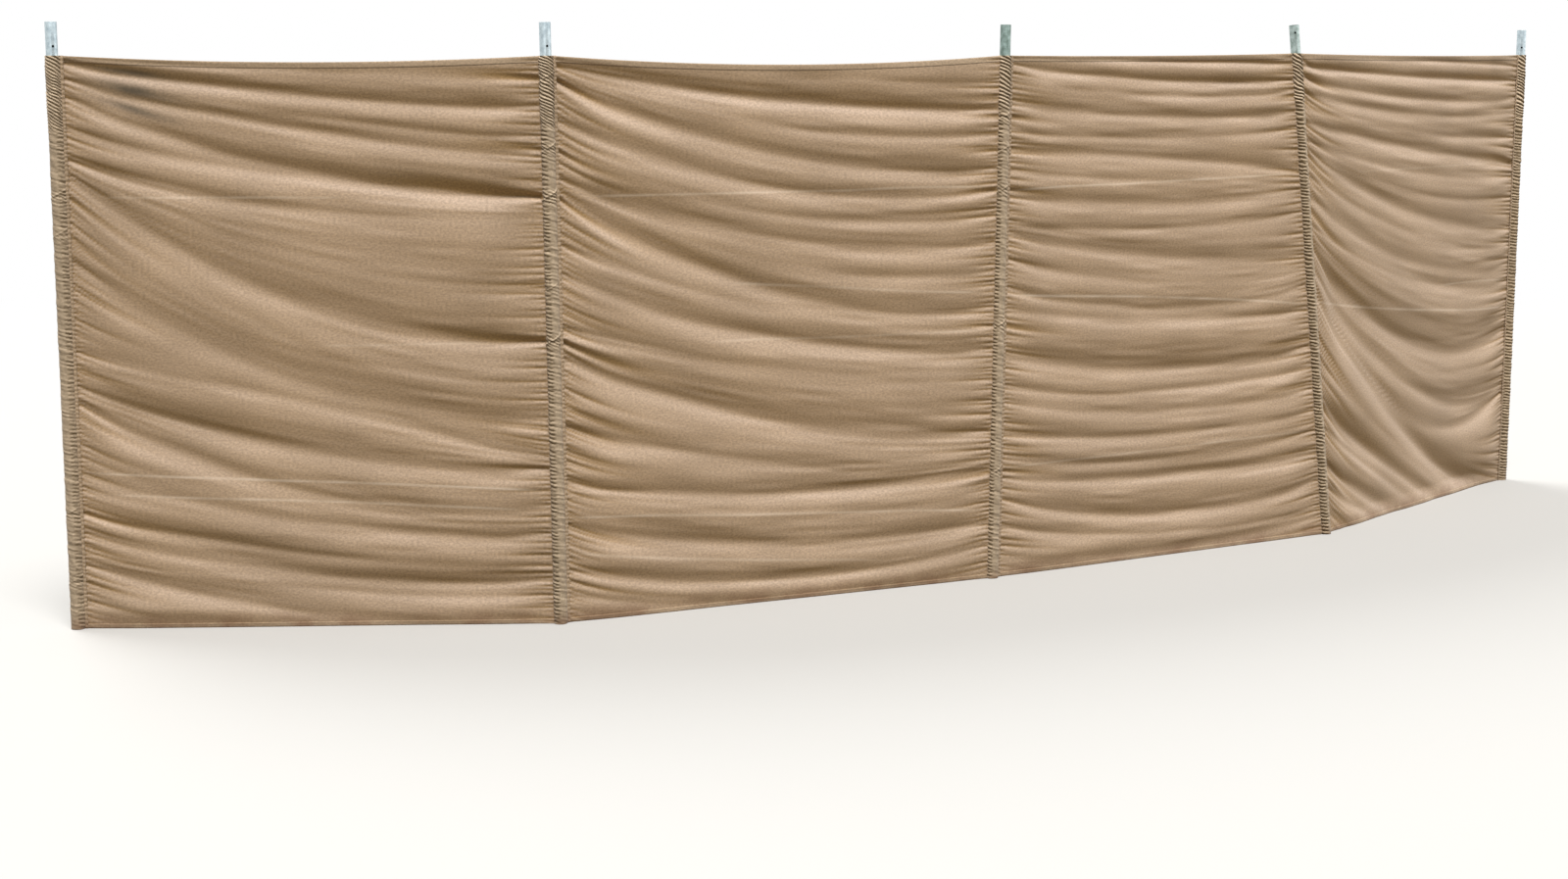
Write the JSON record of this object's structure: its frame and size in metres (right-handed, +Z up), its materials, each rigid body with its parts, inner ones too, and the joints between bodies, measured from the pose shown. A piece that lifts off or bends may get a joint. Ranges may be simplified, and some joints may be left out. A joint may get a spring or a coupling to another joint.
{
  "type": "beach windbreak",
  "caption": "Free-standing cloth screen of canvas bays between steel tube poles in sewn sleeves, planted along a shallow curve, with one pole leaning.",
  "frame": {"origin": "on the ground, in the middle of pole 3, the middle pole, which is held by the ground", "axes": "+X along the wall from pole 1 towards pole 5, the front of the wall faces -Y, +Z up"},
  "size_m": [4.7005, 0.5679, 1.4866],
  "materials": {
    "canvas": "tan cotton canvas, creased and slack",
    "canvas_seam": "two layers of canvas, lockstitched and puckered",
    "canvas_hem": "canvas folded over and stitched",
    "canvas_ground_hem": "canvas folded over and stitched, damp and stained by the ground",
    "galvanised_tube": "galvanised, dull grey-blue",
    "spike_steel": "bright drawn bar, cut at ground level"
  },
  "bodies": {
    "root": {"pole_1": "galvanised_tube", "pole_2": "galvanised_tube", "pole_3": "galvanised_tube", "pole_4": "galvanised_tube", "pole_5": "galvanised_tube", "spike_1": "spike_steel", "spike_2": "spike_steel", "spike_3": "spike_steel", "spike_4": "spike_steel", "spike_5": "spike_steel", "sleeve_1": "canvas", "sleeve_2": "canvas", "sleeve_3": "canvas", "sleeve_4": "canvas", "sleeve_5": "canvas", "flange_1": "canvas_seam", "flange_2": "canvas_seam", "flange_3": "canvas_seam", "flange_4": "canvas_seam", "flange_5": "canvas_seam", "panel_1": "canvas", "panel_2": "canvas", "panel_3": "canvas", "panel_4": "canvas", "top_hem_1": "canvas_hem", "top_hem_2": "canvas_hem", "top_hem_3": "canvas_hem", "top_hem_4": "canvas_hem", "bottom_hem_1": "canvas_ground_hem", "bottom_hem_2": "canvas_ground_hem", "bottom_hem_3": "canvas_ground_hem", "bottom_hem_4": "canvas_ground_hem"}
  },
  "joints": []
}
